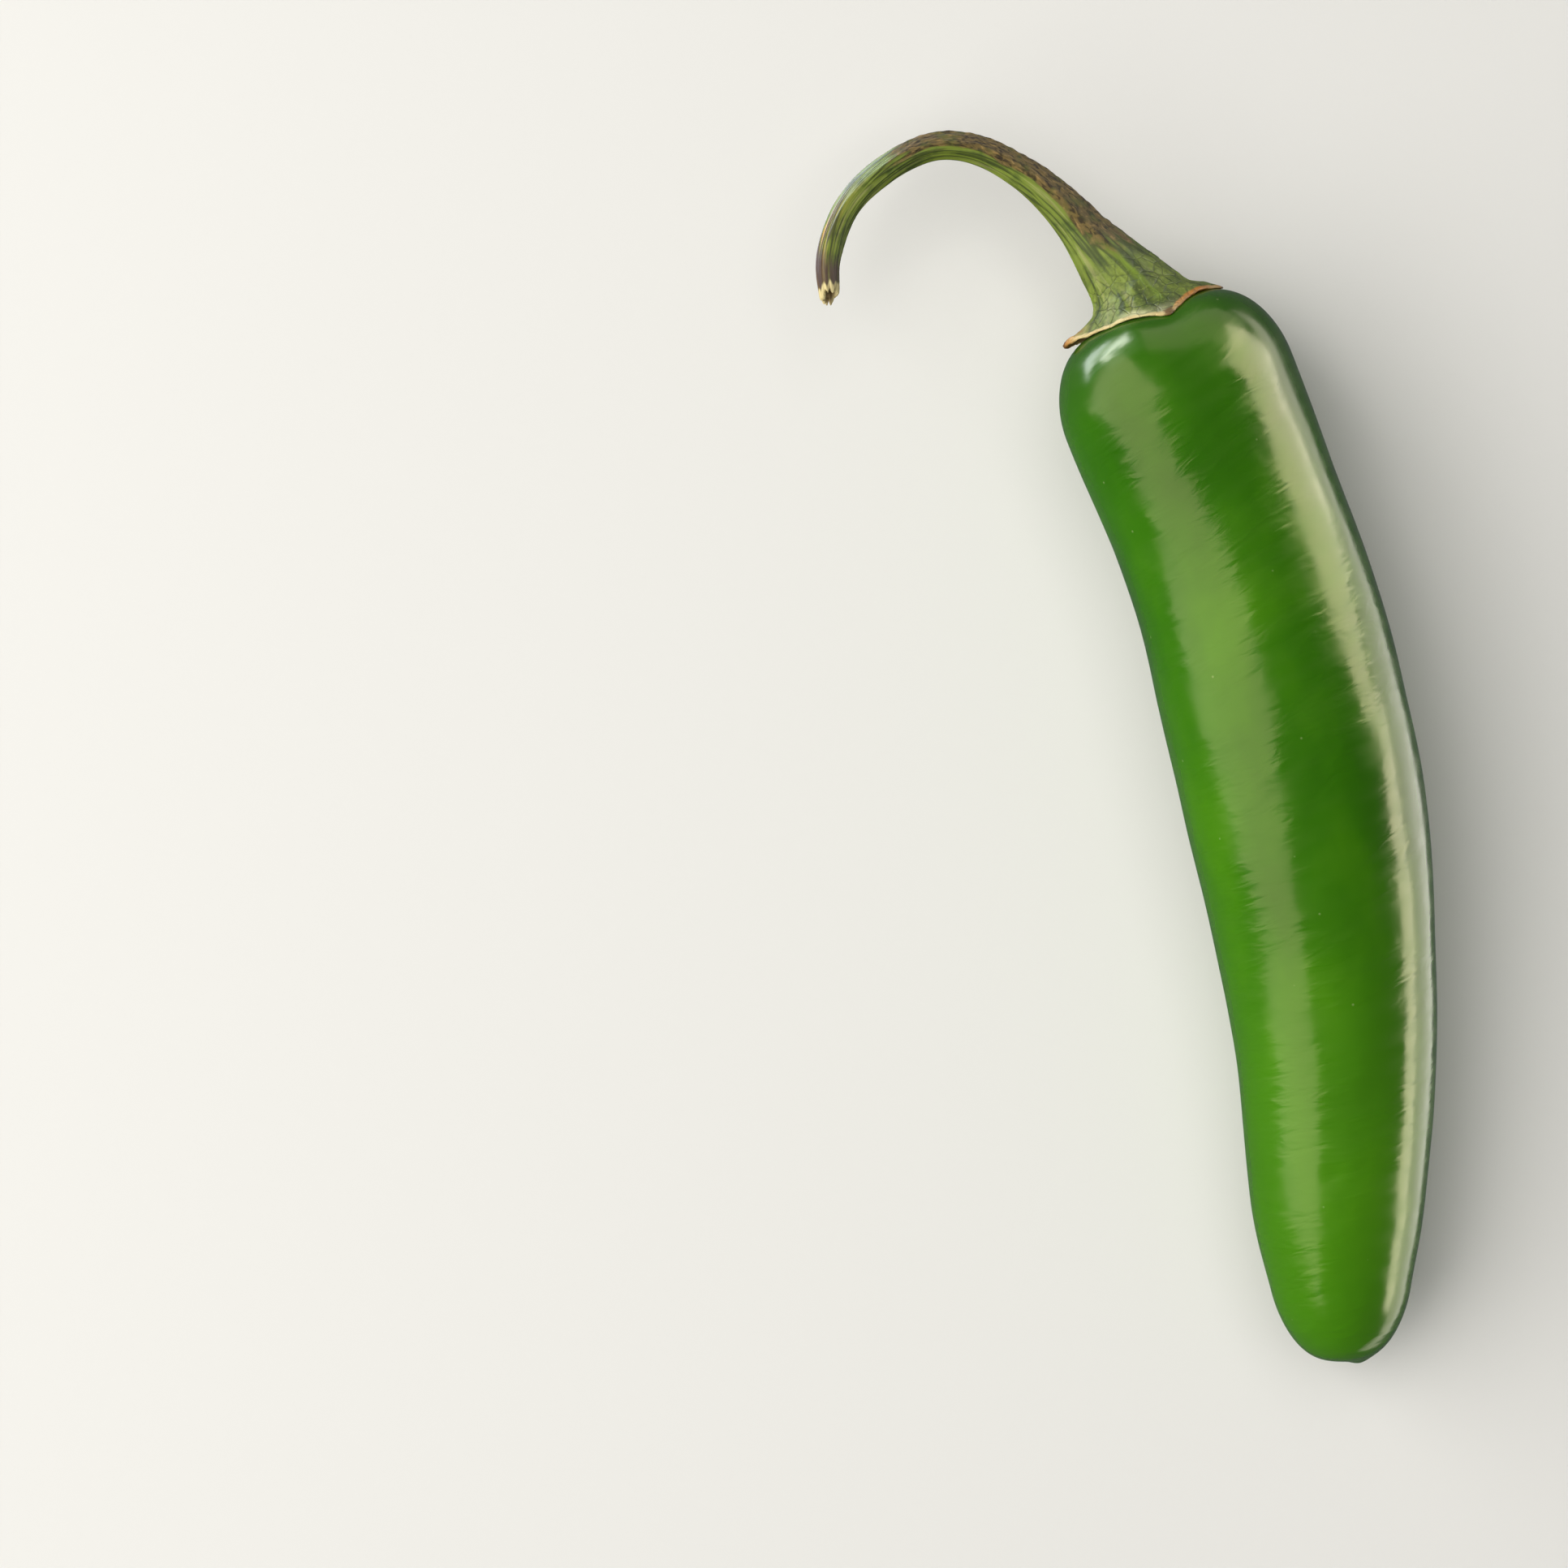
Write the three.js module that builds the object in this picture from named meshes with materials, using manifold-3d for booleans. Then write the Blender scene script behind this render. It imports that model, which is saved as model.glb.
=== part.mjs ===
// A green chilli pepper as picked, with its calyx and stem, lying on its side.
//
// Units are millimetres. +Z is up, and the surface the pepper lies on is Z = 0.
// The pod points along -Y, bends gently towards +X and has its calyx at the +Y end.
// The stem goes on from the calyx, arches over and hooks down on the -X side.
// The origin is the middle of the small flat spot that the pod rests on, under the pepper's weight.

import * as THREE from 'three';
import Module from 'manifold-3d';
import { mergeVertices } from 'three/addons/utils/BufferGeometryUtils.js';

// Driving dimensions of the pod
const podLength = 90;
const calyxSeat = new THREE.Vector3(-12.2, 36.1, 10.2);
const crownRadius = 9.9;
const crownDepth = 7.5;
const crownTop = -0.7;
const tipDepth = 6;
const furrowTurns = [11, 131, 240];
const furrowWidth = 24;
const furrowDepth = 0.6;
const furrowFade = 9;
const furrowRest = 0.08;
const styleScarHeight = 0.35;
const styleScarOffset = 1.2;
const styleScarRadius = 1.0;
const podSides = 40;

// Driving dimensions of the calyx and the stem
const seatGap = 0.3;
const calyxSkin = 0.9;
const collarSkin = 1.2;
const collarRadius = 4.25;
const marginRadius = 5.7;
const toothReach = 0.95;
const toothWidth = 13;
const toothTurns = [-88, 12, 85, 150, 215];
const curledTooth = -88;
const curlHeight = 0.7;
const veinHeight = 0.18;
const ridgeWidth = 14;
const ridgeMean = 0.4;
const collarDistance = 2.9;
const tornEndDepth = 0.7;
const stemSides = 40;

// How far the ridges stand out, by distance from the calyx seat
const ridgeHeights = [[0, 0.1], [3, 0.22], [8, 0.3], [14, 0.18], [30, 0.14], [42, 0.1]];

// The pod's half width, by distance from the calyx seat
const podWidths = [
  [0, 9.9], [7, 10.15], [18, 9.85], [33, 10.2], [44, 10.03], [57.5, 8.95],
  [71, 7.85], [78, 7.1], [84.5, 5.75], [90, 4.75]
];

// The stem's half thickness, by distance from the calyx seat
const stemWidths = [
  [2.2, 3.95], [3.2, 3.4], [4.6, 2.9], [7, 2.3], [9.4, 1.82],
  [12.2, 1.58], [16.2, 1.28], [21, 1.12], [32, 1.02], [39, 0.9], [42, 0.65]
];

// The middle of the pod, from the calyx seat to the tip
const podLine = lineFromSeat([
  [0, 0, 0], [3.05, -7.4, -0.25], [8.4, -20.9, -0.52], [12.0, -34.5, -0.37],
  [14.6, -48.1, -0.97], [16.1, -61.7, -1.67], [16.3, -75.3, -2.1], [16.9, -87.5, -2.4]
]);

// The middle of the stem, from its torn end to the calyx seat
const stemLine = lineFromSeat([
  [-26.5, 1.0, 1.6], [-26.6, 5.0, 1.6], [-25.1, 9.1, 1.5], [-22.0, 12.25, 1.3],
  [-18.2, 14.2, 1.0], [-14.4, 14.1, 0.8], [-10.5, 12.2, 0.6], [-7.4, 9.7, 0.4],
  [-4.9, 6.9, 0.2], [-2.65, 4.2, 0.1], [-1.25, 2.35, 0], [0, 0, 0]
]);

function lineFromSeat(steps) {
  return new THREE.CatmullRomCurve3(steps.map(([x, y, z]) => new THREE.Vector3(x, y, z).add(calyxSeat)));
}

// The height of a smooth curve through [distance, height] pairs
function heightAt(pairs, distance) {
  const last = pairs.length - 1;
  let k = pairs.findIndex(([at]) => at > distance);
  k = k < 0 ? last - 1 : Math.max(k - 1, 0);
  const slope = (i) => {
    const a = pairs[Math.max(i - 1, 0)];
    const b = pairs[Math.min(i + 1, last)];
    return (b[1] - a[1]) / (b[0] - a[0]);
  };
  const span = pairs[k + 1][0] - pairs[k][0];
  const u = THREE.MathUtils.clamp((distance - pairs[k][0]) / span, 0, 1);
  const rise = pairs[k + 1][1] - pairs[k][1];
  const bow = u * (1 - u) * ((1 - u) * (slope(k) * span - rise) - u * (slope(k + 1) * span - rise));
  return pairs[k][1] + rise * u + bow;
}

// 1 at each of the given turns in degrees, falling off to 0 beside them
function nearTurns(turns, width, turn) {
  const degrees = THREE.MathUtils.radToDeg(turn);
  return Math.max(...turns.map((centre) => {
    const apart = THREE.MathUtils.euclideanModulo(degrees - centre + 180, 360) - 180;
    return Math.exp(-((apart / width) ** 2));
  }));
}

// A point beside a line: how far along it, how far out, and the turn from straight up towards +X
function beside(line, along, out, turn) {
  const length = line.getLength();
  const within = THREE.MathUtils.clamp(along, 0, length);
  const ahead = line.getTangentAt(within / length);
  const side = new THREE.Vector3(0, 0, 1).cross(ahead).normalize();
  const up = ahead.clone().cross(side);
  return line.getPointAt(within / length)
    .addScaledVector(ahead, along - within)
    .addScaledVector(side, out * Math.sin(turn))
    .addScaledVector(up, out * Math.cos(turn));
}

// How far along the pod its rounded crown has come at a given radius
function crownAt(radius) {
  const part = Math.min(radius / crownRadius, 1);
  return crownTop + crownDepth * (1 - Math.sqrt(1 - part ** 4));
}

// A point of the pod, with its shallow furrows
function onPod(along, out, turn) {
  const depth = furrowDepth * Math.exp(-Math.max(along, 0) / furrowFade) + furrowRest;
  const dip = depth * nearTurns(furrowTurns, furrowWidth, turn) * Math.min(out / crownRadius, 1);
  return beside(podLine, along + dip, out - dip, turn);
}

// A point of a layer that stands off the pod's crown by the given thickness
function overCrown(radius, turn, thickness) {
  const part = radius / crownRadius;
  const lean = Math.atan(2 * crownDepth / crownRadius * part ** 3 / Math.sqrt(1 - part ** 4));
  return onPod(crownAt(radius) - thickness * Math.cos(lean), radius + thickness * Math.sin(lean), turn);
}

// Makes a solid from a lathe by placing each of its points by row, distance out and turn
function bendLathe(profile, sides, place) {
  const lathe = new THREE.LatheGeometry(profile, sides);
  lathe.deleteAttribute('normal');
  lathe.deleteAttribute('uv');
  const solid = mergeVertices(lathe, 1e-5);
  const position = solid.attributes.position;
  for (let i = 0; i < position.count; i++) {
    const across = position.getX(i);
    const upright = position.getZ(i);
    const point = place(position.getY(i), Math.hypot(across, upright), Math.atan2(across, upright));
    position.setXYZ(i, point.x, point.y, point.z);
  }
  solid.computeVertexNormals();
  return solid;
}

function podProfile() {
  const crownRows = 9;
  const bodyRows = 24;
  const tipRows = 8;
  const bodyStart = crownAt(crownRadius);
  const bodyEnd = podLength - tipDepth;
  const profile = [];
  for (let i = 0; i <= crownRows; i++) {
    const radius = crownRadius * Math.sin(Math.PI / 2 * i / crownRows);
    profile.push(new THREE.Vector2(radius, crownAt(radius)));
  }
  for (let i = 1; i < bodyRows; i++) {
    const along = THREE.MathUtils.lerp(bodyStart, bodyEnd, i / bodyRows);
    profile.push(new THREE.Vector2(heightAt(podWidths, along), along));
  }
  for (let i = tipRows; i >= 0; i--) {
    const part = Math.sin(Math.PI / 2 * i / tipRows);
    const along = podLength - tipDepth * (1 - Math.sqrt(1 - part ** 3));
    profile.push(new THREE.Vector2(part * heightAt(podWidths, along), along));
  }
  return profile.reverse();
}

function podGeometry() {
  const whole = bendLathe(podProfile(), podSides, (along, out, turn) => {
    const apart = Math.hypot(out * Math.sin(turn) - styleScarOffset, out * Math.cos(turn));
    const scar = along > podLength / 2 ? styleScarHeight * Math.exp(-((apart / styleScarRadius) ** 2)) : 0;
    return onPod(along + scar, out, turn);
  });
  const ground = new THREE.BoxGeometry(80, 160, 10).translate(0, 0, -5);
  return cutAway(whole, ground);
}

// The rows of the calyx and stem, from the middle of the torn end round to the middle of the underside
function calyxStemRows() {
  const stemLength = stemLine.getLength();
  const onStem = (along, part, turn) => {
    const fromSeat = stemLength - along;
    const ridge = heightAt(ridgeHeights, fromSeat) * (nearTurns(toothTurns, ridgeWidth, turn) - ridgeMean);
    return beside(stemLine, along, part * (heightAt(stemWidths, fromSeat) + ridge), turn);
  };
  // The torn end is ragged round its rim and hollow in its middle
  const tear = (turn) => tornEndDepth * (0.5 + 0.3 * Math.sin(2 * turn + 1) + 0.2 * Math.sin(5 * turn));
  const margin = (turn) => marginRadius + toothReach * nearTurns(toothTurns, toothWidth, turn);
  const curl = (turn) => curlHeight * nearTurns([curledTooth], toothWidth, turn);
  const rows = [
    () => onStem(tornEndDepth, 0, 0),
    (turn) => onStem(tornEndDepth, 0.35, turn),
    (turn) => onStem(tear(turn), 0.55, turn),
    (turn) => onStem(tear(turn), 0.9, turn),
    (turn) => onStem(tear(turn) + 0.3, 1, turn)
  ];
  const stemRows = 30;
  for (let i = 0; i <= stemRows; i++) {
    const along = THREE.MathUtils.lerp(2 * tornEndDepth, stemLength - collarDistance, i / stemRows);
    rows.push((turn) => onStem(along, 1, turn));
  }
  const calyxRows = 4;
  for (let i = 0; i <= calyxRows; i++) {
    const out = i / calyxRows;
    rows.push((turn) => {
      const vein = veinHeight * (1 - out) * nearTurns(toothTurns, ridgeWidth, turn);
      const skin = THREE.MathUtils.lerp(collarSkin, calyxSkin, out) + vein + curl(turn) * out ** 2;
      return overCrown(THREE.MathUtils.lerp(collarRadius, margin(turn), out), turn, skin);
    });
  }
  rows.push((turn) => overCrown(margin(turn), turn, seatGap + curl(turn)));
  rows.push((turn) => overCrown(margin(turn) * 0.8, turn, seatGap + curl(turn) / 3));
  rows.push((turn) => overCrown(margin(turn) * 0.5, turn, seatGap));
  rows.push(() => overCrown(0, 0, seatGap));
  return rows;
}

function calyxStemGeometry() {
  const rows = calyxStemRows();
  const last = rows.length - 1;
  const profile = rows.map((row, i) => new THREE.Vector2(i === 0 || i === last ? 0 : 1, i));
  return bendLathe(profile.reverse(), stemSides, (row, out, turn) => rows[Math.round(row)](turn));
}

const wasm = await Module();
wasm.setup();

function toSolid(geometry) {
  geometry.deleteAttribute('normal');
  geometry.deleteAttribute('uv');
  const closed = mergeVertices(geometry, 1e-5);
  return new wasm.Manifold(new wasm.Mesh({
    numProp: 3,
    vertProperties: Float32Array.from(closed.attributes.position.array),
    triVerts: Uint32Array.from(closed.index.array)
  }));
}

function cutAway(geometry, tool) {
  const mesh = toSolid(geometry).subtract(toSolid(tool)).getMesh();
  const result = new THREE.BufferGeometry();
  result.setAttribute('position', new THREE.BufferAttribute(mesh.vertProperties, 3));
  result.setIndex(new THREE.BufferAttribute(mesh.triVerts, 1));
  result.computeVertexNormals();
  return result;
}

const podSkin = new THREE.MeshStandardMaterial({ color: 0x2f6b0c, roughness: 0.28, metalness: 0 });
const stemSkin = new THREE.MeshStandardMaterial({ color: 0x76803f, roughness: 0.75, metalness: 0 });

const pod = new THREE.Mesh(podGeometry(), podSkin);
pod.name = 'pod';

const calyxStem = new THREE.Mesh(calyxStemGeometry(), stemSkin);
calyxStem.name = 'calyx_stem';

const chilli = new THREE.Group();
chilli.add(pod, calyxStem);

export default chilli;
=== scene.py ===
# Green chilli pepper lying on its side: pod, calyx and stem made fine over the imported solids
import math
import bpy
import bmesh
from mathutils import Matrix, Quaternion, Vector, noise
from mathutils.geometry import interpolate_bezier


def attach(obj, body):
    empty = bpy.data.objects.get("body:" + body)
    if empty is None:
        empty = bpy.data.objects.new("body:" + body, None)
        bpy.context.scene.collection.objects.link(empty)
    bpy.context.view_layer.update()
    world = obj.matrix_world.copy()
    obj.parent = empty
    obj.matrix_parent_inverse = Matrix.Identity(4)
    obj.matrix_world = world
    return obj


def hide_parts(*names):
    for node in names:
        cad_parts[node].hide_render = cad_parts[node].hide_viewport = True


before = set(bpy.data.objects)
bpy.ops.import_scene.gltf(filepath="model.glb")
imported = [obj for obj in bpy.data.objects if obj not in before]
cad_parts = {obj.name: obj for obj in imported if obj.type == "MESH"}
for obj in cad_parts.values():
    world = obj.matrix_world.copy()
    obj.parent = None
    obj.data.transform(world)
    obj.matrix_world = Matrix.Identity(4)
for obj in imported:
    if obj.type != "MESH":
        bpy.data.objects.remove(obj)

mm = 0.001
up = Vector((0, 0, 1))
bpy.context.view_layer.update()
print("frame loaded")


# Camera, straight above the middle of the photograph

shot = {
    "pixel": 0.068,  # mm of the object in one pixel
    "width": 1932,  # pixels across the photograph
    "centre": (966, 966),  # pixel under the camera
    "origin": (1591.4, 923.9),  # pixel where the part's origin lies
    "heightOfPod": 10,  # mm, where the scale holds
    "lens": 110,  # mm
    "sensor": 36,  # mm
    "clip": 0.01,  # metres
}


def addCamera():
    frameWidth = shot["pixel"] * shot["width"]
    away = frameWidth * shot["lens"] / shot["sensor"]
    data = bpy.data.cameras.new("camera")
    data.lens = shot["lens"]
    data.sensor_width = shot["sensor"]
    data.clip_start = shot["clip"]
    camera = bpy.data.objects.new("camera", data)
    across = (shot["centre"][0] - shot["origin"][0]) * shot["pixel"]
    upward = (shot["origin"][1] - shot["centre"][1]) * shot["pixel"]
    camera.location = Vector((across, upward, shot["heightOfPod"] + away)) * mm
    bpy.context.scene.collection.objects.link(camera)
    bpy.context.scene.camera = camera


addCamera()
print("camera placed")


# Small helpers

def heightAt(pairs, distance):
    # height of a smooth curve through (distance, height) pairs
    last = len(pairs) - 1
    k = next((i for i in range(len(pairs)) if pairs[i][0] > distance), last)
    k = min(max(k - 1, 0), last - 1)

    def slope(i):
        a, b = pairs[max(i - 1, 0)], pairs[min(i + 1, last)]
        return (b[1] - a[1]) / (b[0] - a[0])

    span = pairs[k + 1][0] - pairs[k][0]
    rise = pairs[k + 1][1] - pairs[k][1]
    u = min(max((distance - pairs[k][0]) / span, 0), 1)
    bow = (1 - u) * (slope(k) * span - rise) - u * (slope(k + 1) * span - rise)
    return pairs[k][1] + rise * u + u * (1 - u) * bow


def nearTurns(turns, width, turn, power=2):
    # 1 at each turn given in degrees, falling to 0 beside it
    apart = min(abs((math.degrees(turn) - centre + 180) % 360 - 180) for centre in turns)
    return math.exp(-((apart / width) ** power))


def blend(low, high, value):
    u = min(max((value - low) / (high - low), 0), 1)
    return u * u * (3 - 2 * u)


def ripple(point, *sizes):
    # smooth noise from -1 to 1 whose bumps have the given sizes in mm
    return noise.noise(Vector([p / s for p, s in zip(point, sizes)]), noise_basis="PERLIN_NEW")


def around(radius, turn, along):
    # point of a ring, so that a ripple meets itself round the stem
    return radius * math.sin(turn), along, radius * math.cos(turn)


def lineThrough(seat, steps, pitch=0.1, finer=60):
    # stations every pitch mm along a smooth line: place, ahead, side and up
    knots = [Vector(seat) + Vector(step) for step in steps]
    ends = [2 * knots[0] - knots[1], *knots, 2 * knots[-1] - knots[-2]]
    points = []
    for a, b, c, d in zip(ends, ends[1:], ends[2:], ends[3:]):
        points += interpolate_bezier(b, b + (c - a) / 6, c - (d - b) / 6, c, finer)[:-1]
    points.append(knots[-1])
    reach = [0]
    for a, b in zip(points, points[1:]):
        reach.append(reach[-1] + (b - a).length)
    length = reach[-1]
    count = round(length / pitch)
    stations, k = [], 0
    for i in range(count + 1):
        at = length * i / count
        while k < len(points) - 2 and reach[k + 1] < at:
            k += 1
        part = (at - reach[k]) / (reach[k + 1] - reach[k])
        stations.append(points[k].lerp(points[k + 1], part))
    frames = []
    for i, place in enumerate(stations):
        ahead = (stations[min(i + 1, count)] - stations[max(i - 1, 0)]).normalized()
        side = up.cross(ahead).normalized()
        frames.append((place, ahead, side, ahead.cross(side)))
    return {"length": length, "pitch": length / count, "frames": frames}


def beside(line, along, out, turn):
    # point beside a line: distance along it, distance out, turn from straight up
    last = len(line["frames"]) - 1
    at = min(max(along / line["pitch"], 0), last)
    k = min(int(at), last - 1)
    a, b = line["frames"][k], line["frames"][k + 1]
    place, ahead, side, rise = (p.lerp(q, at - k) for p, q in zip(a, b))
    past = along - at * line["pitch"]
    return place + ahead * past + side * (out * math.sin(turn)) + rise * (out * math.cos(turn))


def spinOutline(outline, sides):
    # closed shell from an outline of (out, along) points, spun round Z
    bm = bmesh.new()
    verts = [bm.verts.new((out, 0, along)) for out, along in outline]
    edges = [bm.edges.new(pair) for pair in zip(verts, verts[1:])]
    bmesh.ops.spin(
        bm, geom=verts + edges, cent=(0, 0, 0), axis=(0, 0, 1), angle=math.tau,
        steps=sides, use_merge=True)
    bmesh.ops.remove_doubles(bm, verts=bm.verts, dist=1e-5)
    return bm


def finishPiece(bm, name, material, node):
    # from mm to a smooth object in metres that stands for a node
    bmesh.ops.scale(bm, vec=(mm, mm, mm), verts=bm.verts)
    bmesh.ops.recalc_face_normals(bm, faces=bm.faces)
    for face in bm.faces:
        face.smooth = True
    mesh = bpy.data.meshes.new(name)
    bm.to_mesh(mesh)
    bm.free()
    mesh.materials.append(material)
    piece = bpy.data.objects.new(name, mesh)
    bpy.context.scene.collection.objects.link(piece)
    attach(piece, "root")
    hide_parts(node)


# Materials

def linear(colour):
    # sRGB hex to linear red, green, blue, alpha
    parts = [int(colour[i:i + 2], 16) / 255 for i in (0, 2, 4)]
    return (*[c / 12.92 if c <= 0.04045 else ((c + 0.055) / 1.055) ** 2.4 for c in parts], 1)


def addNode(mat, kind, links=None, stops=None, **settings):
    node = mat.node_tree.nodes.new(kind)
    for name, value in settings.items():
        setattr(node, name, value)
    for name, value in (links or {}).items():
        if isinstance(value, bpy.types.NodeSocket):
            mat.node_tree.links.new(value, node.inputs[name])
        else:
            node.inputs[name].default_value = value
    if stops:
        ramp = node.color_ramp
        while len(ramp.elements) < len(stops):
            ramp.elements.new(0.5)
        for element, (at, colour) in zip(ramp.elements, stops):
            element.position = at
            element.color = linear(colour)
    return node


def newMaterial(name):
    mat = bpy.data.materials.new(name)
    mat.use_nodes = True
    mat.node_tree.nodes.clear()
    return mat


podSkinLook = {
    # the crown colour is painted shade under the calyx and in the furrows
    # the flank colour is partly the fruit's own tone, partly painted light on its left side
    "flankTintAndPaintedLight": "43840c", "crown": "2f5a12", "tip": "4a8610", "speck": "a9b97c", "shine": "fff0b4",
    "patch": (9, 16, 9),  # mm, cloudy change of green
    "greens": [(0.3, "1f5600"), (0.5, "2a6400"), (0.72, "3a7400")],  # deep, middle and fresh
    "tints": (  # colour, where, from and to, how much
        # lighter, yellower green on the left flank: partly the fruit's own colour, partly painted light
        # and glow from the left
        ("flankTintAndPaintedLight", "across", -3, -10, 0.12),  # mm
        # darker, duller green towards the crown: painted shade under the calyx and in the furrows
        ("crown", "along", 9, 0, 0.6),  # mm
        ("tip", "along", 40, 72, 0.5),  # mm
        ("speck", "dots", 0.045, 0.02, 0.25),  # parts of the spacing
    ),
    "speckSpacing": 3.1,  # mm between the small pale specks
    "streak": (5, 1.1, 5),  # mm, dull and bright streaks across the pod
    "slant": 14,  # degrees, how far the streaks and ripples lean
    "gloss": (0.19, 0.268),  # roughness, bright to dull; past 0.274 the denoiser draws hard edges in it
    "dulling": (0.4, 0.95),  # from bright to dull, in streak and cloud together
    "cloudShare": 0.35,
    "ripple": (3, 1, 3),  # mm, shallow ripples that feather the edges of the highlights
    "rippleHeight": 0.09,  # mm
    "calm": (6, 8, 6),  # mm, stretches without ripples
    "calmRange": (0.32, 0.6),
    "peel": 0.32,  # mm, fine orange peel, drawn twice as coarse as it is so that it shows
    "peelHeight": 0.0003,  # mm
}


def waxyPodSkin():
    # Waxy cuticle over green flesh: deep even greens, under a clear gloss whose highlights feather out
    look = podSkinLook
    mat = newMaterial("waxy_pod_skin")
    straight = addNode(mat, "ShaderNodeAttribute", attribute_name="straight").outputs["Vector"]
    lean = math.radians(look["slant"])
    field = {}
    for name, sizes, turned, detail, distortion in (
        ("patch", look["patch"], 0, 3, 0),
        ("streak", look["streak"], lean, 0.6, 0),
        ("calm", look["calm"], 0, 2, 0),
        ("ripple", look["ripple"], lean, 2, 0.4),
        ("peel", [look["peel"]] * 3, 0, 2, 0),
    ):
        leaning = addNode(mat, "ShaderNodeMapping", {"Vector": straight, "Rotation": (0, 0, turned)})
        spread = addNode(mat, "ShaderNodeMapping", {
            "Vector": leaning.outputs[0], "Scale": [1 / s for s in sizes]})
        field[name] = addNode(mat, "ShaderNodeTexNoise", {
            "Vector": spread.outputs[0], "Scale": 1, "Detail": detail,
            "Distortion": distortion}).outputs[0]
    parts = addNode(mat, "ShaderNodeSeparateXYZ", {0: straight})
    field["across"], field["along"] = parts.outputs[0], parts.outputs[1]
    field["dots"] = addNode(mat, "ShaderNodeTexVoronoi", {
        "Vector": straight, "Scale": 1 / look["speckSpacing"]}, feature="F1").outputs["Distance"]

    green = addNode(mat, "ShaderNodeValToRGB", {0: field["patch"]}, stops=look["greens"]).outputs[0]
    for colour, where, low, high, share in look["tints"]:
        amount = addNode(mat, "ShaderNodeMapRange", {
            "Value": field[where], "From Min": low, "From Max": high, "To Max": share},
            interpolation_type="SMOOTHSTEP").outputs[0]
        green = addNode(mat, "ShaderNodeMix", {0: amount, 6: green, 7: linear(look[colour])},
                        data_type="RGBA").outputs[2]

    dull = addNode(mat, "ShaderNodeMath", {0: field["patch"], 1: look["cloudShare"], 2: field["streak"]},
                   operation="MULTIPLY_ADD").outputs[0]
    roughness = addNode(mat, "ShaderNodeMapRange", {
        "Value": dull, "From Min": look["dulling"][0], "From Max": look["dulling"][1],
        "To Min": look["gloss"][0], "To Max": look["gloss"][1]},
        interpolation_type="SMOOTHSTEP").outputs[0]
    calm = addNode(mat, "ShaderNodeMapRange", {
        "Value": field["calm"], "From Min": look["calmRange"][0], "From Max": look["calmRange"][1]},
        interpolation_type="SMOOTHSTEP").outputs[0]
    rippled = addNode(mat, "ShaderNodeMath", {0: field["ripple"], 1: calm},
                      operation="MULTIPLY").outputs[0]
    bump = addNode(mat, "ShaderNodeBump", {
        "Height": rippled, "Strength": 1, "Distance": look["rippleHeight"] * mm})
    bump = addNode(mat, "ShaderNodeBump", {
        "Height": field["peel"], "Strength": 1, "Distance": look["peelHeight"] * mm,
        "Normal": bump.outputs[0]})
    shader = addNode(mat, "ShaderNodeBsdfPrincipled", {
        "Base Color": green, "Roughness": roughness, "IOR": 1.46, "Specular Tint": linear(look["shine"]),
        "Subsurface Weight": 0.08, "Subsurface Radius": (0.4, 1.0, 0.15), "Subsurface Scale": 0.001,
        "Coat Weight": 0.1, "Coat Roughness": 0.12, "Coat IOR": 1.4, "Normal": bump.outputs[0]})
    addNode(mat, "ShaderNodeOutputMaterial", {0: shader.outputs[0]})
    return mat


podSkin = waxyPodSkin()
print("pod skin mixed")


# Pod

podShape = {
    "seat": (-12.2, 36.1, 10.2),  # mm, middle of the calyx seat
    "middle": [(0, 0, 0), (3.05, -7.4, -0.25), (8.4, -20.9, -0.52), (12.0, -34.5, -0.37),
               (14.6, -48.1, -0.97), (16.1, -61.7, -1.67), (16.3, -75.3, -2.1), (16.9, -87.5, -2.4)],
    "widths": [(0, 9.9), (7, 10.15), (18, 9.85), (33, 10.2), (44, 10.03), (57.5, 8.95),
               (71, 7.85), (78, 7.1), (84.5, 5.75), (90, 4.75)],  # half width by distance from the seat
    "length": 90,
    "crown": (9.9, 7.5, -0.7),  # radius, depth and top of the rounded crown
    "tipDepth": 6,
    "furrows": (11, 131, 240),  # degrees
    "furrowWidth": 24,  # degrees
    "furrowDepth": 0.6,
    "furrowFade": 9,
    "furrowRest": 0.08,
    "scar": (0.35, 1.2, 1.0),  # height, offset and radius of the style scar
    "swell": 0.12,  # mm, broad unevenness of the flesh
    "swellSize": (7, 8.5, 7),
    "wave": 0.012,  # mm, finer waves
    "waveSize": (3.4, 2.6, 3.4),
    "calmSize": (9, 12, 9),  # mm, stretches without waves
    "calmRange": (-0.3, 0.4),
    "dimple": (-1.2, 73.5, 0.9, 0.12),  # across, along, radius and depth of the blemish
    "rows": (30, 230, 28),  # crown, body and tip
    "sides": 160,
}
podLine = lineThrough(podShape["seat"], podShape["middle"])


def crownAt(radius):
    # how far along the pod its crown has come at a radius
    crownRadius, depth, top = podShape["crown"]
    part = min(radius / crownRadius, 1)
    return top + depth * (1 - math.sqrt(1 - part ** 4))


def onPod(along, out, turn):
    # point of the pod, with its furrows
    faded = math.exp(-max(along, 0) / podShape["furrowFade"])
    depth = podShape["furrowDepth"] * faded + podShape["furrowRest"]
    part = min(out / podShape["crown"][0], 1)
    dip = depth * nearTurns(podShape["furrows"], podShape["furrowWidth"], turn) * part
    return beside(podLine, along + dip, out - dip, turn)


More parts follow.
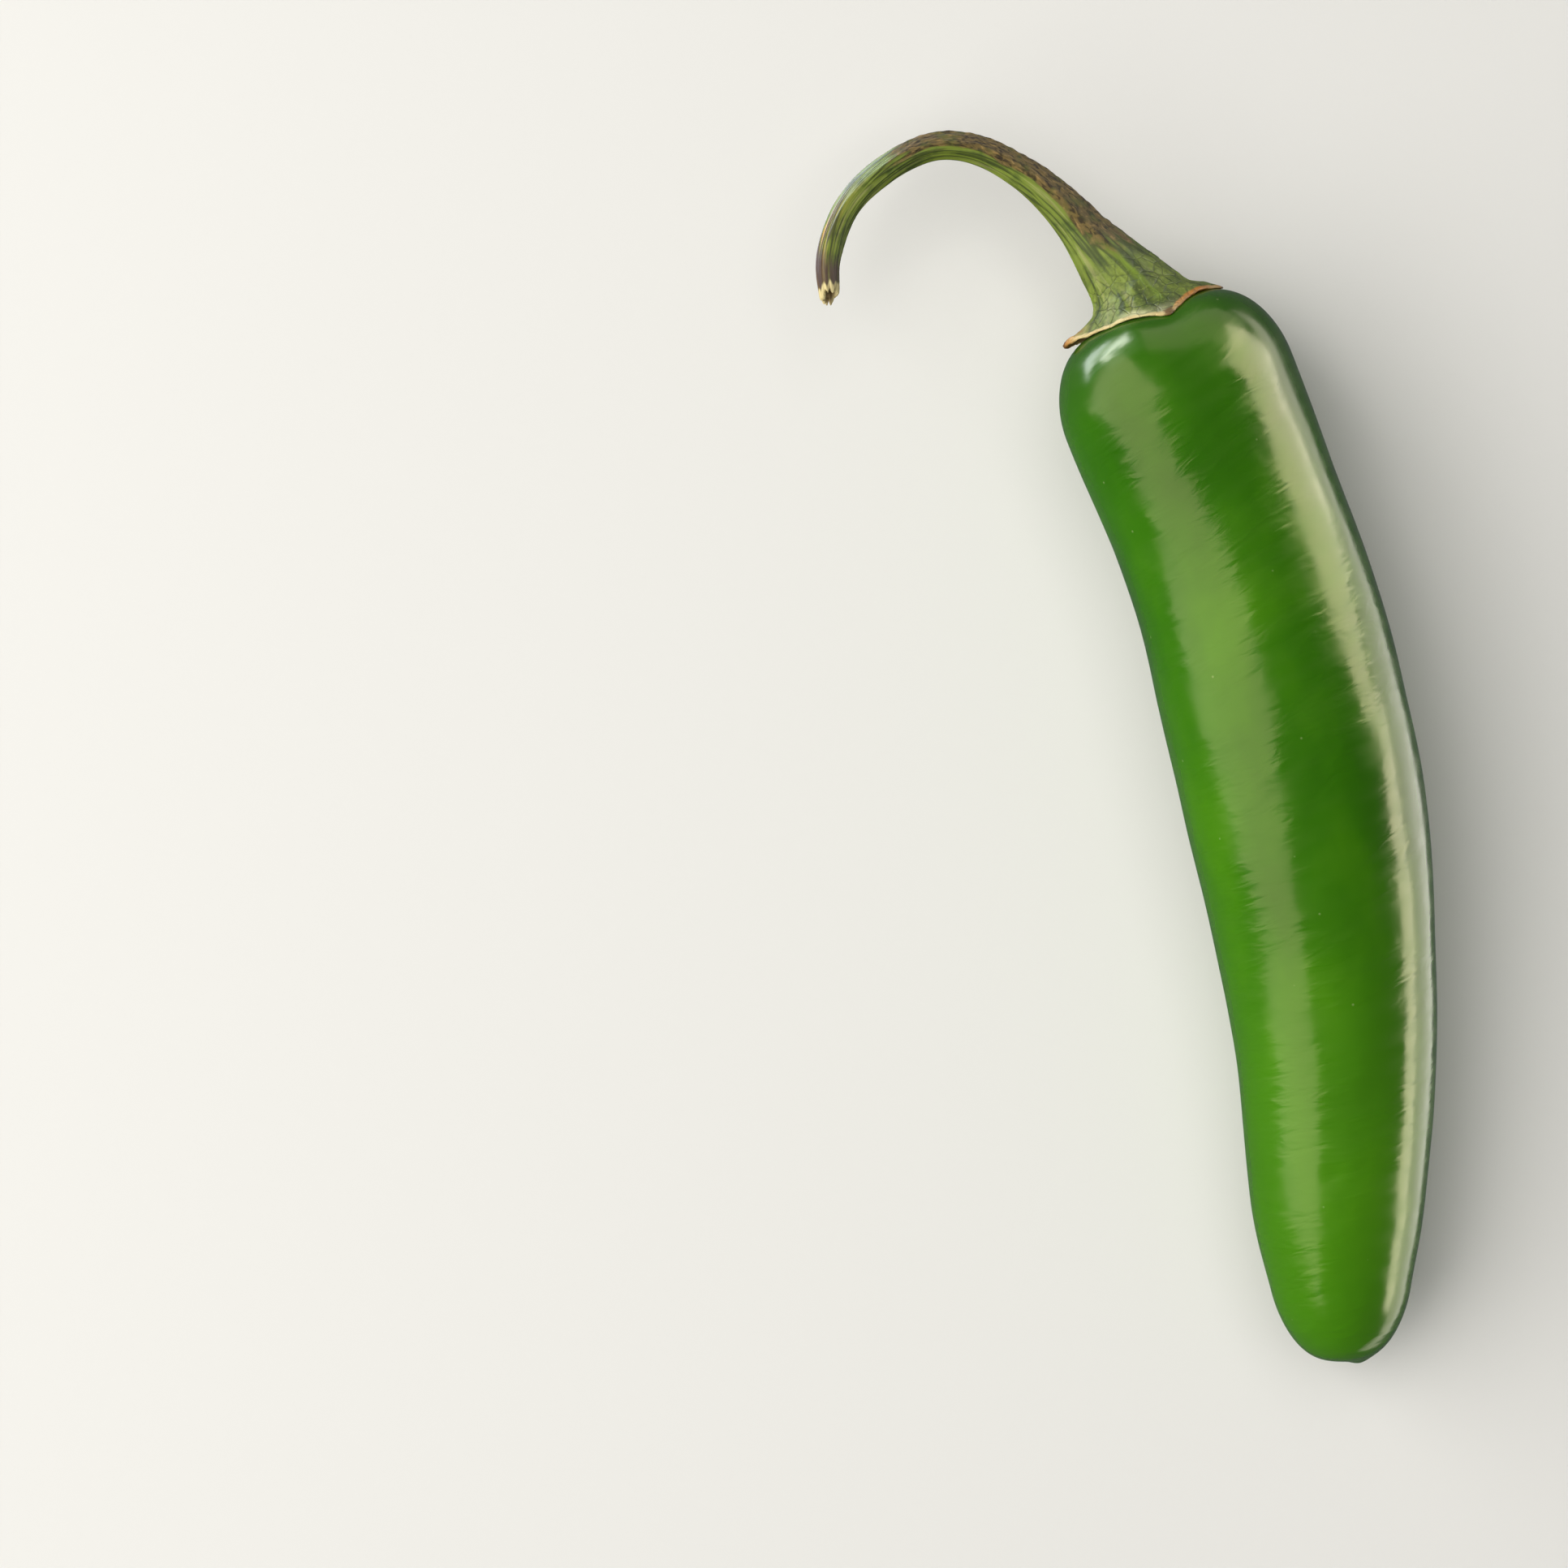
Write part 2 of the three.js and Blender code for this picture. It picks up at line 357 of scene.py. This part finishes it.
def podOutline():
    crownRows, bodyRows, tipRows = podShape["rows"]
    crownRadius = podShape["crown"][0]
    start, end = crownAt(crownRadius), podShape["length"] - podShape["tipDepth"]
    outline = []
    for i in range(crownRows + 1):
        radius = crownRadius * math.sin(math.pi / 2 * i / crownRows)
        along = crownAt(radius)
        outline.append((radius * heightAt(podShape["widths"], along) / crownRadius, along))
    for i in range(1, bodyRows):
        along = start + (end - start) * i / bodyRows
        outline.append((heightAt(podShape["widths"], along), along))
    for i in range(tipRows, -1, -1):
        part = math.sin(math.pi / 2 * i / tipRows)
        along = podShape["length"] - podShape["tipDepth"] * (1 - math.sqrt(1 - part ** 3))
        outline.append((part * heightAt(podShape["widths"], along), along))
    return outline


def buildPod():
    bm = spinOutline(podOutline(), podShape["sides"])
    straight = bm.verts.layers.float_vector.new("straight")  # the pod as if it had not bent
    scarHeight, scarOffset, scarRadius = podShape["scar"]
    dimpleAcross, dimpleAlong, dimpleRadius, dimpleDepth = podShape["dimple"]
    for vert in bm.verts:
        along = vert.co.z
        out = math.hypot(vert.co.x, vert.co.y)
        turn = math.atan2(vert.co.x, vert.co.y)
        flat = Vector((vert.co.x, along, vert.co.y))
        vert[straight] = flat
        part = min(out / podShape["crown"][0], 1)
        swell = podShape["swell"] * ripple(flat, *podShape["swellSize"]) * part
        calm = blend(*podShape["calmRange"], ripple(flat, *podShape["calmSize"]))
        wave = podShape["wave"] * ripple(flat, *podShape["waveSize"]) * part * calm
        dent = math.hypot(flat.x - dimpleAcross, along - dimpleAlong) / dimpleRadius
        dimple = dimpleDepth * math.exp(-dent ** 2) if flat.z > 0 else 0
        scar = scarHeight * math.exp(-(math.hypot(flat.x - scarOffset, flat.z) / scarRadius) ** 2)
        scar = scar if along > podShape["length"] / 2 else 0
        vert.co = onPod(along + scar, out + swell + wave - dimple, turn)
        vert.co.z = max(vert.co.z, 0)  # the spot it rests on
    finishPiece(bm, "chilli_pod", podSkin, "pod")


buildPod()
print("pod built")


stemSkinLook = {
    # painted_sheen is a painted pale sheen on the upward side of the calyx near its edge
    "skin": "6d7d2a", "skinDeep": "48591c", "skinPale": "84943f", "vein": "789222", "painted_sheen": "d2d0a2",
    # painted highlight for the fibre crests, painted shade for the grooves and the calyx creases
    "crest": "9c9a66", "groove": "2a3412",
    "corkDark": "30241a", "cork": "685632", "corkPale": "9a7d4a",
    # amberGrooveShade is the dried amber colour darkened as painted shade for the fibre grooves
    "amberGrooveShade": "583a1a", "amber": "c6983a", "band": "4b3830",
    "tornDark": "8e7c4c", "tornPale": "cfc08c", "pith": "75613e",
    "rimPale": "cfc08a", "rim": "b27229", "toothTip": "5f4220",
    "mixes": {  # base, then layers: colour, where, from and to, how much, and only within a mask
        "corky": ("corkDark", (
            ("cork", "corkGrain", 0.36, 0.55, 1, None),
            ("corkPale", "corkGrain", 0.55, 0.72, 0.8, None),
            ("skinDeep", "mottle", 0.5, 0.7, 0.45, None))),
        # real dried amber colour, dark in the fibre grooves and bright on their crests: painted shade and
        # painted highlight
        "golden": ("amberGrooveShade", (
            ("amber", "relief", 0.3, 0.6, 1, None),)),
        "straw": ("tornDark", (
            ("tornPale", "strand", 0.3, 0.5, 1, None),
            ("pith", "pith", 0, 1, 1, None))),
        "dryRim": ("rimPale", (
            ("rim", "rimTan", 0, 1, 1, None),)),
        "whole": ("skinDeep", (
            ("skin", "mottle", 0.3, 0.55, 1, None),
            ("skinPale", "strand", 0.5, 0.75, 0.6, None),
            # paler on the fibre crests and darker in their grooves: painted highlight and painted shade
            ("crest", "relief", 0.58, 0.9, 0.45, None),
            ("groove", "relief", 0.42, 0.12, 0.8, None),
            ("skinPale", "speckle", 0.52, 0.68, 0.45, "calyx"),
            ("skinDeep", "speckle", 0.48, 0.34, 0.6, "calyx"),
            # darker in the calyx creases: painted shade
            ("groove", "cracks", 0.14, 0.02, 0.7, "calyx"),
            ("vein", "strand", 0.3, 0.6, 1, "vein"),
            # painted pale sheen over the top of the calyx towards its edge
            ("painted_sheen", "mottle", 0.25, 0.6, 1, "painted_sheen"),
            ("corky", "corkEdge", 0.62, 1.1, 0.95, None),
            ("golden", "strand", 0.3, 0.5, 1, "amber"),
            ("band", "strand", 1, 0.4, 0.95, "band"),
            ("straw", "torn", 0, 1, 1, None),
            ("dryRim", "grain", -0.2, 0.6, 1, "rim"),
            ("toothTip", "tips", 0.6, 1.1, 0.9, None))),
    },
    "strand": (0.3, 5, 0.3),  # mm round and along the stem
    "corkGrain": (0.26, 0.75, 0.26),  # mm round and along the stem
    "mottle": 1.6, "grain": 0.22, "speckle": 0.3,  # mm
    "crease": 1.1,  # mm between the creases of the calyx
    "strandHeight": 0.03, "creaseHeight": 0.05, "corkHeight": 0.05,  # mm
    "dry": (0.55, 0.85),  # roughness of the skin and of the cork
}
stemMasks = (  # painted on the mesh as it is built
    "relief", "calyx", "vein", "painted_sheen", "cork", "amber",
    "band", "torn", "pith", "rim", "rimTan", "toothTip")


def dryStemSkin():
    # Half dried herbaceous stem: dull green fibres, corky brown where it weathered, straw where it tore
    look = stemSkinLook
    mat = newMaterial("dry_herb_stem")
    place = addNode(mat, "ShaderNodeTexCoord").outputs["Object"]
    fibre = addNode(mat, "ShaderNodeAttribute", attribute_name="fibre").outputs["Vector"]
    field = {}
    for name in stemMasks:
        field[name] = addNode(mat, "ShaderNodeAttribute", attribute_name=name).outputs["Fac"]
    for name, at, sizes, detail, distortion in (
        ("strand", fibre, look["strand"], 4, 0.4),
        ("corkGrain", fibre, look["corkGrain"], 4, 0.8),
        ("mottle", place, [look["mottle"] * mm] * 3, 4, 0),
        ("grain", place, [look["grain"] * mm] * 3, 4, 0),
        ("speckle", place, [look["speckle"] * mm] * 3, 3, 0),
    ):
        spread = addNode(mat, "ShaderNodeMapping", {"Vector": at, "Scale": [1 / s for s in sizes]})
        field[name] = addNode(mat, "ShaderNodeTexNoise", {
            "Vector": spread.outputs[0], "Scale": 1, "Detail": detail,
            "Distortion": distortion}).outputs[0]
    cracks = addNode(mat, "ShaderNodeTexVoronoi", {
        "Vector": place, "Scale": 1 / (look["crease"] * mm)},
        feature="DISTANCE_TO_EDGE").outputs["Distance"]
    grains = addNode(mat, "ShaderNodeMath", {0: field["corkGrain"], 1: field["strand"]},
                     operation="ADD").outputs[0]
    for name, value, share, added in (  # uneven edges
        ("cracks", field["mottle"], 0.1, cracks),
        ("corkEdge", grains, 0.45, field["cork"]),
        ("tips", field["grain"], 0.4, field["toothTip"]),
    ):
        field[name] = addNode(mat, "ShaderNodeMath", {0: value, 1: share, 2: added},
                              operation="MULTIPLY_ADD").outputs[0]

    mixed = {}
    for name, (base, layers) in look["mixes"].items():
        colour = linear(look[base])
        for top, where, low, high, share, within in layers:
            amount = addNode(mat, "ShaderNodeMapRange", {
                "Value": field[where], "From Min": low, "From Max": high, "To Max": share},
                interpolation_type="SMOOTHSTEP").outputs[0]
            if within:
                amount = addNode(mat, "ShaderNodeMath", {0: amount, 1: field[within]},
                                 operation="MULTIPLY").outputs[0]
            cover = mixed[top] if top in mixed else linear(look[top])
            colour = addNode(mat, "ShaderNodeMix", {0: amount, 6: colour, 7: cover},
                             data_type="RGBA").outputs[2]
        mixed[name] = colour

    bump = None
    for name, low, high, within, height, sunk in (
        ("strand", 0, 1, None, look["strandHeight"], False),
        ("cracks", 0.13, 0.02, "calyx", look["creaseHeight"], True),
        ("corkGrain", 0, 1, "cork", look["corkHeight"], False),
    ):
        rise = addNode(mat, "ShaderNodeMapRange", {
            "Value": field[name], "From Min": low, "From Max": high}).outputs[0]
        if within:
            rise = addNode(mat, "ShaderNodeMath", {0: rise, 1: field[within]},
                           operation="MULTIPLY").outputs[0]
        under = {"Normal": bump.outputs[0]} if bump else {}
        bump = addNode(mat, "ShaderNodeBump", {
            "Height": rise, "Strength": 1, "Distance": height * mm, **under}, invert=sunk)
    roughness = addNode(mat, "ShaderNodeMapRange", {
        "Value": field["cork"], "From Min": 0.2, "From Max": 0.7,
        "To Min": look["dry"][0], "To Max": look["dry"][1]}).outputs[0]
    shader = addNode(mat, "ShaderNodeBsdfPrincipled", {
        "Base Color": mixed["whole"], "Roughness": roughness, "IOR": 1.4, "Specular IOR Level": 0.35,
        "Normal": bump.outputs[0]})
    addNode(mat, "ShaderNodeOutputMaterial", {0: shader.outputs[0]})
    return mat


stemSkin = dryStemSkin()
print("stem skin mixed")


# Calyx and stem

stemShape = {
    "middle": [(-26.5, 1.0, 1.6), (-26.6, 5.0, 1.6), (-25.1, 9.1, 1.5), (-22.0, 12.25, 1.3),
               (-18.2, 14.2, 1.0), (-14.4, 14.1, 0.8), (-10.5, 12.2, 0.6), (-7.4, 9.7, 0.4),
               (-4.9, 6.9, 0.2), (-2.65, 4.2, 0.1), (-1.25, 2.35, 0), (0, 0, 0)],
    "widths": [(2.2, 3.95), (3.2, 3.4), (4.6, 2.9), (7, 2.3), (9.4, 1.82),
               (12.2, 1.58), (16.2, 1.28), (21, 1.12), (32, 1.02), (39, 0.9), (42, 0.65)],
    "ridges": [(0, 0.1), (3, 0.22), (8, 0.3), (14, 0.18), (30, 0.14), (42, 0.1)],
    "ridgeWidth": 14,  # degrees
    "ridgeMean": 0.4,
    "teeth": (-88, 12, 85, 150, 215),  # degrees
    "collar": (2.9, 4.25, 1.2),  # distance from the seat; then radius and height over the crown
    "margin": 5.7,
    "toothReach": 1.1,
    "toothWidth": 14,  # degrees
    "marginWave": 0.16,  # mm, uneven edge
    "edgeSkin": 0.32,  # mm, height of the edge over the crown
    "edgeThick": 0.24,
    "edgeLift": 0.14,  # mm, where the dried edge waves clear of the pod
    "curled": (-88, 16, 0.75),  # turn, width and height of the curled tooth
    "curledThick": (12, 1.2),  # width and extra thickness of its edge
    "calyxReach": 4,  # mm, how far the fibres run on over the calyx
    "tornDepth": 0.75,
    "tornRim": 0.3,  # mm, from the torn rim back to the first ring of the stem
    "hollow": (0.35, 0.75),  # parts of the radius, from the floor of the torn end to its rim
    "ring": 1.3,  # mm, mean radius of the stem
    "strands": ((2.3, 9, 0.65), (5.2, 5, 0.35)),  # fineness round the stem, length and share
    "fibreHeight": [(0, 0.1), (6, 0.13), (12, 0.12), (20, 0.12), (32, 0.11), (42, 0.1)],
    "corkPatch": (6.6, 28, 68, 76),  # from and to along the stem, middle turn and half width
    "corkRagged": (22, 2),  # degrees and mm
    "corkHeight": 0.1,
    "amberSide": (80, 55),  # middle turn and half width of the dried outer side of the hook
    "amberFrom": (30, 35),
    "amberTo": (41, 39.5),
    "tornFrom": (2.0, 1.6, 0.5),  # mm short of the end, begun and full, and later on the outer side
    "bandFrom": (4.6, 2.8, 0.7),  # mm short of the end, begun and full, and earlier on the outer side
    "veinWidth": 6,  # degrees
    "painted_sheen": (-6, 19, 0.85),  # middle turn, half width and strength of the painted pale sheen
    "paintedSheenFrom": (0.62, 0.92),  # parts of the way to the edge
    "rimWidth": 0.05,  # parts of the way to the edge
    "rimWider": (38, 18, 0.05),  # middle turn, half width and how much more
    "rimUneven": 0.06,
    "rimTan": ((50, 150, -150), 45),  # middle turns and half width of the browner stretches
    "pucker": (0.07, 0.03, 0.14),  # mm on the calyx, less at its edge, more on the curled tooth
    "rows": (14, 200, 45, 4, 8),  # torn end, stem, calyx in threes, edge and underside
    "sides": 216,
}
stemLine = lineThrough(podShape["seat"], stemShape["middle"])


def overCrown(radius, turn, thickness):
    # point of a layer that stands off the pod's crown
    crownRadius, depth, top = podShape["crown"]
    part = radius / crownRadius
    lean = math.atan(2 * depth / crownRadius * part ** 3 / math.sqrt(1 - part ** 4))
    return onPod(crownAt(radius) - thickness * math.cos(lean), radius + thickness * math.sin(lean), turn)


def onStem(fromSeat, part, turn):
    ridge = nearTurns(stemShape["teeth"], stemShape["ridgeWidth"], turn) - stemShape["ridgeMean"]
    radius = heightAt(stemShape["widths"], fromSeat) + heightAt(stemShape["ridges"], fromSeat) * ridge
    return beside(stemLine, stemLine["length"] - fromSeat, part * radius, turn)


def tearAt(turn):
    # how far the torn rim falls short of the stem's end: a slant with splinters
    slant = 0.55 + 0.75 * math.cos(turn + 0.5) + 0.1 * math.sin(5 * turn)
    splinter = ripple(around(3, turn, 0), 1, 1, 1)
    return stemShape["tornDepth"] * (max(slant, 0) + 0.5 * splinter + 0.2)


def marginAt(turn):
    wave = ripple(around(6, turn, 0), 1.6, 1, 1.6)
    fine = ripple(around(6, turn, 9), 0.45, 1, 0.45)
    reach = stemShape["toothReach"] * nearTurns(stemShape["teeth"], stemShape["toothWidth"], turn, 1.4)
    return stemShape["margin"] + reach + stemShape["marginWave"] * (wave + 0.4 * fine)


def edgeLiftAt(turn):
    middle, width, height = stemShape["curled"]
    wave = ripple(around(6, turn, 4), 2.2, 1, 2.2)
    return height * nearTurns([middle], width, turn) + stemShape["edgeLift"] * max(wave, -0.3)


def calyxColumn(turn, steps):
    # the calyx at one turn: a smooth line from the stem over the collar to the edge
    collarAt, collarRadius, collarSkin = stemShape["collar"]
    margin, lift = marginAt(turn), edgeLiftAt(turn)
    knots = [onStem(collarAt + 0.8, 1, turn), onStem(collarAt, 1, turn),
             overCrown(collarRadius, turn, collarSkin)]
    for part in (0.5, 1):
        radius = collarRadius + (margin - collarRadius) * part
        skin = stemShape["edgeSkin"] + (collarSkin - stemShape["edgeSkin"]) * (1 - part) ** 1.3
        knots.append(overCrown(radius, turn, skin + lift * part ** 2))
    knots.append(2 * knots[-1] - knots[-2])
    column = []
    for a, b, c, d in zip(knots, knots[1:], knots[2:], knots[3:]):
        column += interpolate_bezier(b, b + (c - a) / 6, c - (d - b) / 6, c, steps // 3 + 1)[:-1]
    column.append(knots[-2])
    return column


def shellPoint(row, turn, column, tear, margin, lift):
    # place of a point, its distance from the seat, and how far over and under the calyx it is
    tornRows, stemRows, calyxRows, edgeRows, underRows = stemShape["rows"]
    length, collarAt = stemLine["length"], stemShape["collar"][0]
    if row < tornRows:
        part = row / (tornRows - 1)
        hollow = blend(*stemShape["hollow"], part)
        fromSeat = length - tear - stemShape["tornDepth"] * 0.8 * (1 - hollow) - 0.15 * part ** 4
        return onStem(fromSeat, part * (1 if row < tornRows - 1 else 0.97), turn), fromSeat, 0, 0
    row -= tornRows
    if row < stemRows:
        part = (row + 0.5) / stemRows
        fromSeat = (length - tear - stemShape["tornRim"]) * (1 - part) + collarAt * part
        return onStem(fromSeat, 1, turn), fromSeat, 0, 0
    row -= stemRows
    if row <= calyxRows:
        calyxPart = row / calyxRows
        return column[row], collarAt - stemShape["calyxReach"] * calyxPart, calyxPart, 0
    row -= calyxRows
    fromSeat = collarAt - stemShape["calyxReach"]
    width, extra = stemShape["curledThick"]
    thick = stemShape["edgeThick"] * (1 + extra * nearTurns([stemShape["curled"][0]], width, turn))
    if row < edgeRows:
        bend = math.pi * row / edgeRows
        skin = stemShape["edgeSkin"] - thick / 2 * (1 - math.cos(bend))
        return overCrown(margin + thick / 2 * math.sin(bend), turn, skin + lift), fromSeat, 1, 0
    under = (row - edgeRows + 1) / (underRows + 1)
    skin = (stemShape["edgeSkin"] - thick + lift) * (1 - under) ** 2 - 0.1 * under
    return overCrown(margin * (1 - under), turn, skin), fromSeat, 1, under


def stemFibres(turn, fromSeat):
    # rounded strands with narrow grooves, in two sizes
    twist = turn + 0.03 * fromSeat
    relief = 0
    for fineness, long, share in stemShape["strands"]:
        strand = abs(ripple(around(fineness, twist, fromSeat), 1, long, 1))
        relief += min(strand * 1.9, 1) * share
    return relief


def stemCork(turn, fromSeat, rough):
    # weathered cork on the outer side of the arch, with ragged borders
    start, end, middle, half = stemShape["corkPatch"]
    raggedTurn, ragged = stemShape["corkRagged"]
    side = abs((math.degrees(turn) - middle + 180) % 360 - 180)
    cork = blend(half + 26, half - 22, side + raggedTurn * rough)
    cork *= blend(start - 2, start + 3, fromSeat + ragged * rough)
    cork *= blend(end + 2, end - 4, fromSeat + ragged * rough)
    return cork


def stemEnd(row, turn, fromSeat):
    # dried outer side of the hook, dark band, torn straw and pith
    length = stemLine["length"]
    outer = nearTurns([stemShape["amberSide"][0]], stemShape["amberSide"][1], turn)
    amber = outer * blend(*stemShape["amberFrom"], fromSeat) * blend(*stemShape["amberTo"], fromSeat)
    ragged = fromSeat + 0.5 * ripple(around(3, turn, 0), 1, 1, 1)
    begun, full, later = stemShape["tornFrom"]
    torn = blend(length - begun, length - full, ragged - later * outer)
    begun, full, earlier = stemShape["bandFrom"]
    band = blend(length - begun, length - full, ragged + earlier * outer) * (1 - torn)
    tornRows = stemShape["rows"][0]
    pith = blend(0.85, 0.3, row / tornRows) if row < tornRows else 0
    return {"amber": amber, "torn": torn, "band": band, "pith": pith}


def calyxLook(turn, fromSeat, calyxPart, dried, rough):
    # veins into the teeth, painted pale sheen on the top of the calyx, dried edge and dark tooth tips
    veinWave = turn + 0.12 * ripple((fromSeat, turn, 0), 1.5, 1, 1)
    vein = nearTurns(stemShape["teeth"], stemShape["veinWidth"], veinWave) * blend(14, 8, fromSeat) * 0.8
    # painted sheen: paler on the upward side of the calyx, towards its edge
    middle, half, strength = stemShape["painted_sheen"]
    painted_sheen = strength * blend(*stemShape["paintedSheenFrom"], calyxPart) * nearTurns([middle], half, turn)
    uneven = ripple(around(6, turn, 2), 0.9, 1, 0.9)
    middle, half, more = stemShape["rimWider"]
    wide = stemShape["rimWidth"] + more * nearTurns([middle], half, turn) + stemShape["rimUneven"] * uneven
    turns, half = stemShape["rimTan"]
    tan = max(nearTurns(turns, half, turn), dried, 0.3 * blend(0.93, 1, calyxPart))
    tip = nearTurns(stemShape["teeth"], stemShape["veinWidth"], turn)
    return {
        "vein": vein * blend(0.85, 0.35, calyxPart),
        "painted_sheen": painted_sheen,
        "rim": max(blend(1 - 1.4 * wide, 1 - 0.6 * wide, calyxPart), dried),
        "rimTan": tan - 0.4 * abs(rough),
        "toothTip": tip * blend(0.8, 0.96, calyxPart),
    }


def buildCalyxStem():
    total = sum(stemShape["rows"])
    outline = [(0 if row in (0, total) else 1, row) for row in range(total + 1)]
    bm = spinOutline(outline, stemShape["sides"])
    fibre = bm.verts.layers.float_vector.new("fibre")
    layers = {name: bm.verts.layers.float.new(name) for name in stemMasks}
    puckerHeight, puckerLess, puckerMore = stemShape["pucker"]
    columns, rise = {}, {}
    for vert in bm.verts:
        row = round(vert.co.z)
        turn = math.atan2(vert.co.x, vert.co.y)
        key = round(math.degrees(turn) * 100)
        if key not in columns:
            column = calyxColumn(turn, stemShape["rows"][2])
            columns[key] = (column, tearAt(turn), marginAt(turn), edgeLiftAt(turn))
        vert.co, fromSeat, calyxPart, under = shellPoint(row, turn, *columns[key])
        vert[fibre] = around(stemShape["ring"], turn, fromSeat)

        rough = ripple(around(3, turn, fromSeat), 0.9, 2.4, 0.9)
        dried = nearTurns([stemShape["curled"][0]], 15, turn) * blend(0.45, 0.8, calyxPart)
        masks = {
            "relief": stemFibres(turn, fromSeat),
            "cork": stemCork(turn, fromSeat, rough),
            "calyx": blend(7, 3, fromSeat) if calyxPart < 1 else 1,
            **stemEnd(row, turn, fromSeat),
            **calyxLook(turn, fromSeat, calyxPart, dried, rough),
        }
        for name, value in masks.items():
            vert[layers[name]] = value

        height = heightAt(stemShape["fibreHeight"], max(fromSeat, 0)) * (masks["relief"] - 0.5)
        lump = ripple(around(stemShape["ring"], turn, fromSeat), 0.4, 0.55, 0.4)
        height += stemShape["corkHeight"] * masks["cork"] * (lump + 0.2)
        pucker = ripple(vert.co, 0.9, 0.9, 0.9) + 0.6 * ripple(vert.co, 0.4, 0.4, 0.4)
        height += masks["calyx"] * pucker * (puckerHeight - puckerLess * calyxPart + puckerMore * dried)
        rise[vert] = height if under == 0 else 0

    bmesh.ops.recalc_face_normals(bm, faces=bm.faces)
    bm.normal_update()
    for vert, height in rise.items():
        vert.co += vert.normal * height
    finishPiece(bm, "chilli_calyx_stem", stemSkin, "calyx_stem")


buildCalyxStem()
print("calyx and stem built")


# Stage: pale paper floor and soft boxes of light

studio = {
    "paper": "dededc",
    "paperRadius": 3,  # metres
    "paperSides": 96,
    "sky": ("eceff4", 0.14),
    "tint": "fffcf6",  # of each box that has none of its own
    "boxes": {  # place, point faced, width and height in metres; degrees turned; radiance; its use
        "left_key": {"place": (-0.55, 0.02, 0.4), "faces": (0, 0, 0.01), "size": (0.85, 0.95),
                     "turn": -32, "shine": 3, "gives": "gloss and fill"},
        "right_low": {"place": (0.13, -0.043, 0.02), "faces": (0, -0.043, 0.01), "size": (0.155, 0.036),
                      "turn": 0, "shine": 8.5, "gives": "gloss"},
        "right_high": {"place": (0.11, 0.1, 0.058), "faces": (0, 0.03, 0.014), "size": (0.15, 0.11),
                       "turn": 35, "shine": 8, "gives": "gloss"},
        "right_card": {"place": (0.122, 0, 0.001), "faces": (0.122, 0, 1), "size": (0.2, 0.2),
                       "turn": 0, "shine": 3, "gives": "gloss"},
        "back_low": {"place": (-0.08, 0.1, 0.0145), "faces": (-0.014, 0.03, 0.012), "size": (0.055, 0.025),
                     "turn": 0, "shine": 21, "gives": "gloss", "tint": "dce8ff"},
        "back_card": {"place": (-0.066, 0.07, 0.001), "faces": (-0.066, 0.07, 1), "size": (0.05, 0.05),
                      "turn": 0, "shine": 11, "gives": "gloss", "tint": "dce8ff"},
        "back_dim": {"place": (0.02, 0.16, 0.05), "faces": (0, 0.03, 0.012), "size": (0.16, 0.1),
                     "turn": 0, "shine": 1.3, "gives": "gloss"},
        "overhead": {"place": (-0.05, 0.1, 0.9), "faces": (0, 0, 0), "size": (0.9, 0.9),
                     "turn": 0, "shine": 1.6, "gives": "fill"},
    },
}


def addFloor():
    bm = bmesh.new()
    bmesh.ops.create_circle(bm, cap_ends=True, segments=studio["paperSides"], radius=studio["paperRadius"])
    mesh = bpy.data.meshes.new("floor")
    bm.to_mesh(mesh)
    bm.free()
    mat = newMaterial("matt_studio_paper")  # even and pale, with no shine of its own
    shader = addNode(mat, "ShaderNodeBsdfDiffuse", {"Color": linear(studio["paper"])})
    addNode(mat, "ShaderNodeOutputMaterial", {0: shader.outputs[0]})
    mesh.materials.append(mat)
    floor = bpy.data.objects.new("floor", mesh)
    floor.visible_glossy = False  # no pale haze in the gloss of the pod's flanks
    bpy.context.scene.collection.objects.link(floor)


def addLights():
    for name, box in studio["boxes"].items():
        data = bpy.data.lights.new(name, "AREA")
        data.shape = "RECTANGLE"
        data.size, data.size_y = box["size"]
        data.energy = box["shine"] * math.pi * data.size * data.size_y
        data.color = linear(box.get("tint", studio["tint"]))[:3]
        light = bpy.data.objects.new(name, data)
        light.location = box["place"]
        aim = Vector(box["faces"]) - light.location
        roll = Quaternion((0, 0, 1), math.radians(box["turn"]))
        light.rotation_euler = (aim.to_track_quat("-Z", "Y") @ roll).to_euler()
        light.visible_camera = False
        light.visible_glossy = "gloss" in box["gives"]
        light.visible_diffuse = "fill" in box["gives"]
        bpy.context.scene.collection.objects.link(light)
    world = bpy.data.worlds.new("studio")
    world.use_nodes = True
    world.node_tree.nodes["Background"].inputs[0].default_value = linear(studio["sky"][0])
    world.node_tree.nodes["Background"].inputs[1].default_value = studio["sky"][1]
    bpy.context.scene.world = world
    bpy.context.scene.view_settings.view_transform = "Standard"


addFloor()
addLights()
print("studio lit")
